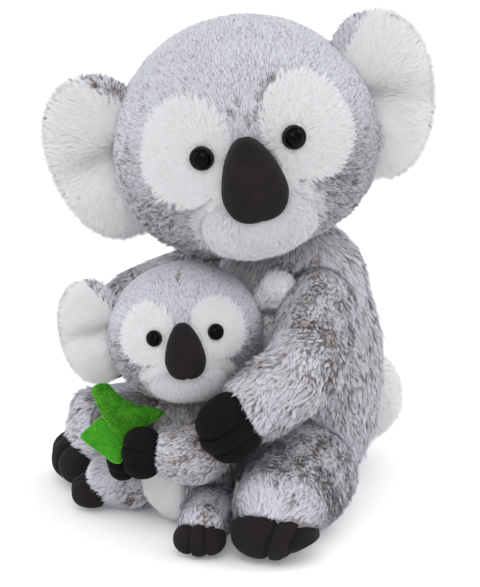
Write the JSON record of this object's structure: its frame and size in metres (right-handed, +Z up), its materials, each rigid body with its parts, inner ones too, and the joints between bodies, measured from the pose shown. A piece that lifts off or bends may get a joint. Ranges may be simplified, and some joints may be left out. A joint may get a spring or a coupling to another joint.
{
  "type": "plush koala with a baby",
  "caption": "Seated plush koala in frosted grey with a baby koala in its lap, the baby holding a green cloth leaf.",
  "frame": {"origin": "point on the floor under the seat, near the middle of the seat panel", "axes": "+Z up, the toy faces -Y and its left side is +X; the head looks towards +X and -Y"},
  "size_m": [0.2257, 0.2421, 0.306],
  "materials": {
    "grey_plush": "long frosted pile",
    "white_plush": "long pile",
    "dark_suede": "short suede nap",
    "green_plush": "short pile",
    "eye_plastic": "gloss",
    "washer_plastic": "matte",
    "bag_cloth": "plain weave"
  },
  "bodies": {
    "root": {"torso": "grey_plush", "seat_panel": "grey_plush", "pellet_bag": "bag_cloth", "chest_bib": "white_plush", "baby_torso": "grey_plush", "baby_belly_panel": "white_plush"},
    "head": {"head": "grey_plush", "head_eye_patch_left": "white_plush", "head_eye_patch_right": "white_plush", "head_muzzle": "white_plush", "head_nose": "dark_suede", "head_eye_left": "eye_plastic", "head_eye_right": "eye_plastic", "head_eye_washer_left": "washer_plastic", "head_eye_washer_right": "washer_plastic"},
    "ear_left": {"head_ear_back_left": "grey_plush", "head_ear_lining_left": "white_plush"},
    "ear_right": {"head_ear_back_right": "grey_plush", "head_ear_lining_right": "white_plush"},
    "arm_left": {"arm_left": "grey_plush", "paw_left": "dark_suede"},
    "arm_right": {"arm_right": "grey_plush", "paw_right": "dark_suede"},
    "leg_left": {"leg_left": "grey_plush", "foot_left": "dark_suede"},
    "leg_right": {"leg_right": "grey_plush", "foot_right": "dark_suede"},
    "tail": {"tail": "white_plush"},
    "baby_head": {"baby_head": "grey_plush", "baby_eye_patch_left": "white_plush", "baby_eye_patch_right": "white_plush", "baby_muzzle": "white_plush", "baby_nose": "dark_suede", "baby_eye_left": "eye_plastic", "baby_eye_right": "eye_plastic", "baby_eye_washer_left": "washer_plastic", "baby_eye_washer_right": "washer_plastic", "baby_ear_back_left": "grey_plush", "baby_ear_lining_left": "white_plush"},
    "baby_ear_right": {"baby_ear_back_right": "grey_plush", "baby_ear_lining_right": "white_plush"},
    "baby_arm_left": {"baby_arm_left": "grey_plush", "baby_paw_left": "dark_suede", "leaf_upper": "green_plush", "leaf_lower": "green_plush"},
    "baby_arm_right": {"baby_arm_right": "grey_plush", "baby_paw_right": "dark_suede"},
    "baby_leg_left": {"baby_leg_left": "grey_plush", "baby_foot_left": "dark_suede"},
    "baby_leg_right": {"baby_leg_right": "grey_plush", "baby_foot_right": "dark_suede"}
  },
  "joints": [
    {"name": "head_turn", "type": "hinge", "parent": "root", "child": "head", "pos_m": [0.006, 0.0155, 0.177], "axis": [0, 0, 1], "range_deg": [-20, 10], "stiffness_Nm_per_rad": 0.6},
    {"name": "ear_fold_left", "type": "hinge", "parent": "head", "child": "ear_left", "pos_m": [0.03723, 0.0481, 0.25106], "axis": [-0.1336, -0.1593, 0.9781], "range_deg": [-10, 10], "stiffness_Nm_per_rad": 0.05},
    {"name": "ear_fold_right", "type": "hinge", "parent": "head", "child": "ear_right", "pos_m": [-0.06022, -0.06804, 0.21883], "axis": [-0.1336, -0.1593, 0.9781], "range_deg": [-10, 10], "stiffness_Nm_per_rad": 0.05},
    {"name": "shoulder_left", "type": "hinge", "parent": "root", "child": "arm_left", "pos_m": [0.042, 0.002, 0.136], "axis": [0, 0, 1], "range_deg": [0, 35], "stiffness_Nm_per_rad": 0.15},
    {"name": "shoulder_right", "type": "hinge", "parent": "root", "child": "arm_right", "pos_m": [-0.042, 0.002, 0.136], "axis": [0, 0, 1], "range_deg": [-35, 0], "stiffness_Nm_per_rad": 0.15},
    {"name": "hip_left", "type": "hinge", "parent": "root", "child": "leg_left", "pos_m": [0.043, 0.002, 0.036], "axis": [0, 0, 1], "range_deg": [0, 20], "stiffness_Nm_per_rad": 0.3},
    {"name": "hip_right", "type": "hinge", "parent": "root", "child": "leg_right", "pos_m": [-0.043, 0.002, 0.036], "axis": [0, 0, 1], "range_deg": [-20, 0], "stiffness_Nm_per_rad": 0.3},
    {"name": "tail_wag", "type": "hinge", "parent": "root", "child": "tail", "pos_m": [0, 0.065, 0.042], "axis": [0, 0, 1], "range_deg": [-12, 12], "stiffness_Nm_per_rad": 0.02},
    {"name": "baby_head_nod", "type": "hinge", "parent": "root", "child": "baby_head", "pos_m": [-0.002, -0.067, 0.12], "axis": [0.7032, 0.7032, 0.1045], "range_deg": [-10, 0], "stiffness_Nm_per_rad": 0.1},
    {"name": "baby_ear_fold_right", "type": "hinge", "parent": "baby_head", "child": "baby_ear_right", "pos_m": [-0.03702, -0.09636, 0.12024], "axis": [-0.0739, -0.0739, 0.9945], "range_deg": [-10, 10], "stiffness_Nm_per_rad": 0.02},
    {"name": "baby_shoulder_left", "type": "hinge", "parent": "root", "child": "baby_arm_left", "pos_m": [0.019, -0.066, 0.072], "axis": [0, 0, 1], "range_deg": [0, 15], "stiffness_Nm_per_rad": 0.03},
    {"name": "baby_shoulder_right", "type": "hinge", "parent": "root", "child": "baby_arm_right", "pos_m": [-0.019, -0.066, 0.072], "axis": [0, 0, 1], "range_deg": [-15, 0], "stiffness_Nm_per_rad": 0.03},
    {"name": "baby_hip_left", "type": "hinge", "parent": "root", "child": "baby_leg_left", "pos_m": [0.0215, -0.066, 0.018], "axis": [0, 0, 1], "range_deg": [-15, 0], "stiffness_Nm_per_rad": 0.03},
    {"name": "baby_hip_right", "type": "hinge", "parent": "root", "child": "baby_leg_right", "pos_m": [-0.0215, -0.066, 0.018], "axis": [0, 0, 1], "range_deg": [0, 15], "stiffness_Nm_per_rad": 0.03}
  ]
}
